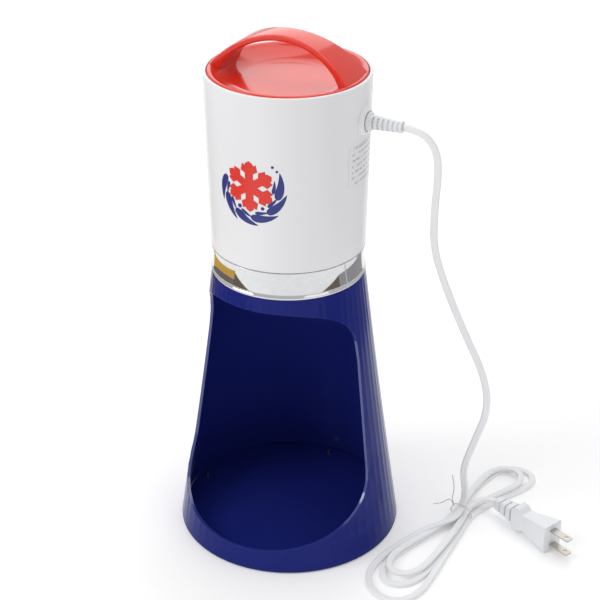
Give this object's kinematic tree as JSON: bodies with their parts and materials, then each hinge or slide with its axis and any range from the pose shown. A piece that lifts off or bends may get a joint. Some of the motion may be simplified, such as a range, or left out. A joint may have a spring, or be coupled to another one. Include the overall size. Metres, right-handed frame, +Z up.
{
  "type": "electric ice shaver",
  "caption": "Electric ice shaver: conical stand with an open bowl bay, twist-off ice case with blade, motor unit over it, push lid with an arched handle, tied mains cord with plug.",
  "frame": {"origin": "on the table under the centre of the round stand", "axes": "+Z up, -Y towards the front where the bowl bay opens, +X towards the cord's side"},
  "size_m": [0.3057, 0.2144, 0.393],
  "materials": {
    "stand_plastic": "gloss, deep blue",
    "housing_plastic": "semi-gloss, white",
    "lid_plastic": "gloss, slightly translucent red",
    "case_plastic": "semi-gloss, pale grey",
    "ring_chrome": "mirror plated",
    "cord_pvc": "satin, off-white flexible PVC",
    "plug_pvc": "satin, off-white moulded PVC",
    "nickel": "satin nickel",
    "steel": "machined or drawn steel",
    "blade_steel": "ground stainless",
    "gear_nylon": "matte nylon",
    "inner_plastic": "matte dark grey",
    "ferrite": "matte ferrite",
    "bronze": "sintered bronze",
    "board": "circuit board",
    "foot_rubber": "matte rubber",
    "label_film": "satin printed film",
    "tie_wire": "thin coated wire"
  },
  "bodies": {
    "stand": {"stand_shell": "stand_plastic", "base_plate": "stand_plastic", "base_screws": "steel", "rubber_feet": "foot_rubber", "power_cord": "cord_pvc", "cord_hank": "cord_pvc", "plug_lead": "cord_pvc", "cord_tie": "tie_wire", "plug_body": "plug_pvc", "plug_blades": "nickel"},
    "motor_unit": {"motor_housing": "housing_plastic", "strain_relief": "plug_pvc", "rating_label": "label_film", "motor_deck": "inner_plastic", "deck_screws": "steel", "shaft_bushing": "bronze", "gearbox_cover": "inner_plastic", "cover_screws": "steel", "idler_axle": "steel", "motor_can": "steel", "motor_magnets": "ferrite", "motor_end_cap": "inner_plastic", "rectifier_board": "board", "switch_bracket": "steel", "push_switch": "inner_plastic", "lid_springs": "steel"},
    "lid": {"push_lid": "lid_plastic", "lid_stem": "case_plastic"},
    "plunger": {"switch_plunger": "lid_plastic"},
    "case": {"case_ring": "ring_chrome", "ice_case": "case_plastic", "blade": "blade_steel", "blade_screws": "steel"},
    "presser": {"output_gear": "gear_nylon", "drive_shaft": "steel", "ice_presser": "case_plastic", "presser_screw": "steel"},
    "idler": {"idler_gear": "gear_nylon"},
    "rotor": {"motor_pinion": "steel", "motor_rotor": "steel"}
  },
  "joints": [
    {"name": "unit_lift", "type": "slide", "parent": "stand", "child": "motor_unit", "axis": [0, 0, 1], "range_m": [0, 0.08]},
    {"name": "lid_press", "type": "slide", "parent": "motor_unit", "child": "lid", "axis": [0, 0, -1], "range_m": [0, 0.004], "stiffness_N_per_m": 500, "springref_m": -0.006, "deforming": ["lid_springs"]},
    {"name": "plunger_press", "type": "slide", "parent": "motor_unit", "child": "plunger", "axis": [0, 0, -1], "range_m": [0, 0.004]},
    {"name": "case_twist", "type": "hinge", "parent": "motor_unit", "child": "case", "pos_m": [0, 0, 0.2168], "axis": [0, 0, 1], "range_deg": [0, 30]},
    {"name": "presser_spin", "type": "hinge", "parent": "motor_unit", "child": "presser", "pos_m": [0, 0, 0.27], "axis": [0, 0, 1], "continuous": true},
    {"name": "idler_spin", "type": "hinge", "parent": "motor_unit", "child": "idler", "pos_m": [0.0243, 0, 0.298], "axis": [0, 0, 1], "continuous": true},
    {"name": "rotor_spin", "type": "hinge", "parent": "motor_unit", "child": "rotor", "pos_m": [0, 0, 0.3058], "axis": [0, 0, 1], "continuous": true}
  ],
  "couplings": [
    {"joint": "plunger_press", "follows": "lid_press", "ratio": 1},
    {"joint": "idler_spin", "follows": "presser_spin", "ratio": -3},
    {"joint": "rotor_spin", "follows": "presser_spin", "ratio": 9}
  ]
}
